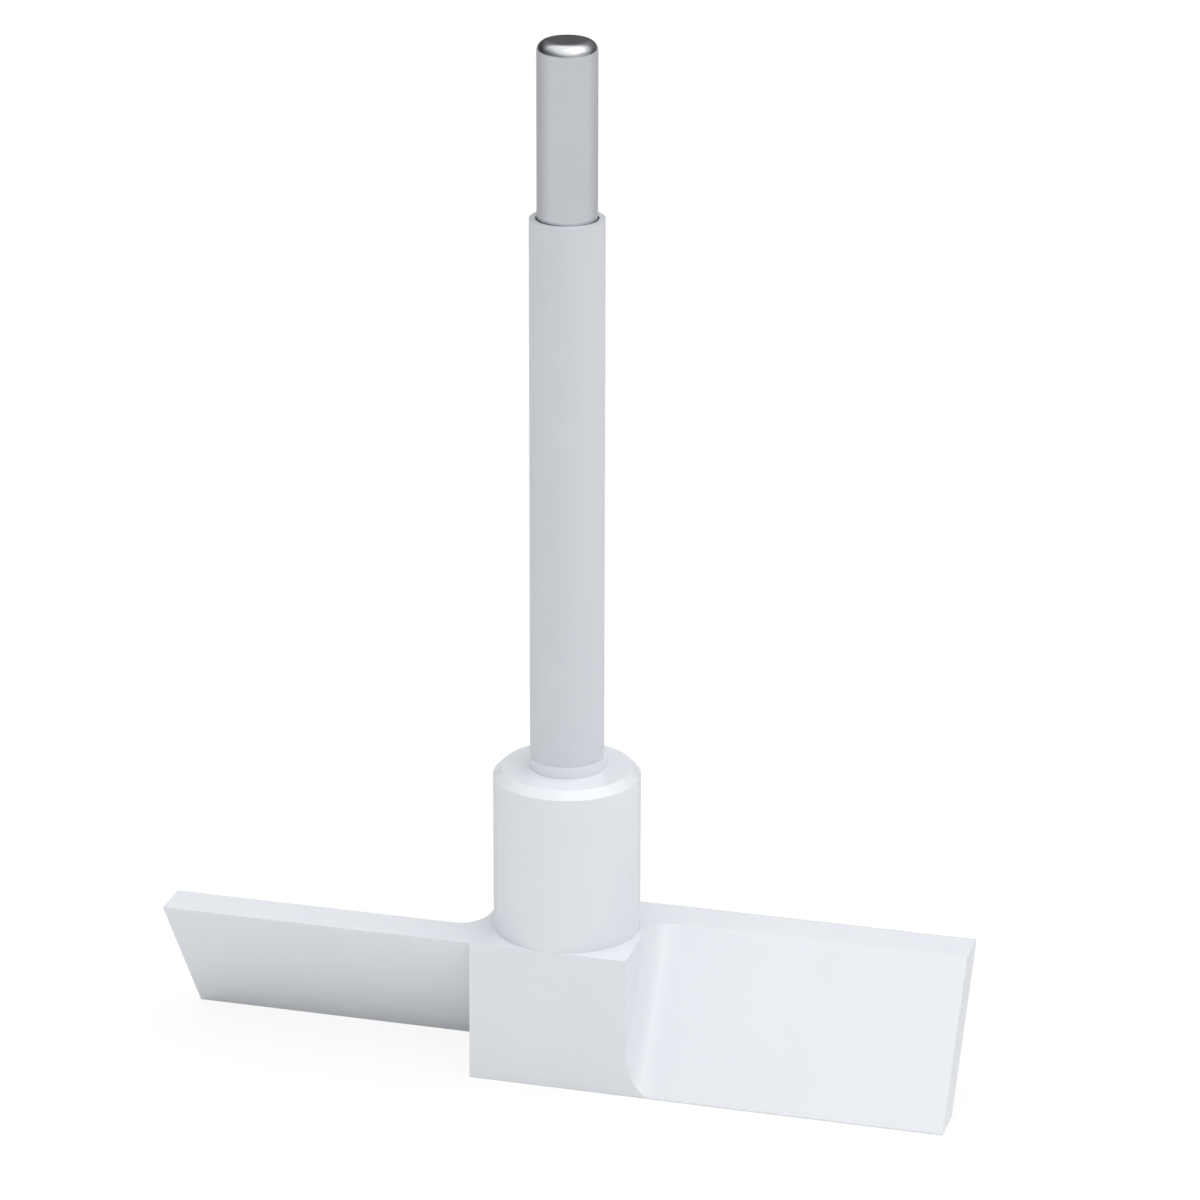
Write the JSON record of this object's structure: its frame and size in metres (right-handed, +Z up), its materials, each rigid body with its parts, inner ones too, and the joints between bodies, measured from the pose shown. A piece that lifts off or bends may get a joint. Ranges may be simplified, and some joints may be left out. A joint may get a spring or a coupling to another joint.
{
  "type": "ptfe stirrer shaft",
  "caption": "Straight PTFE-covered steel shaft with a bare chuck end and a fixed PTFE head of opposed pitched blades, for stirring vessels from above.",
  "frame": {"origin": "on the shaft's axis, in the middle of the foot that the head stands on", "axes": "+Z up along the shaft to its bare end, X along the blades, Y across them"},
  "size_m": [0.11, 0.02, 0.1437],
  "materials": {
    "steel": "ground and polished stainless steel",
    "ptfe_sleeve": "smooth satin PTFE, slightly grey because the steel shows through",
    "ptfe_head": "machined satin PTFE"
  },
  "bodies": {
    "root": {"steel_core": "steel", "ptfe_sleeve": "ptfe_sleeve", "stirrer_head": "ptfe_head"}
  },
  "joints": []
}
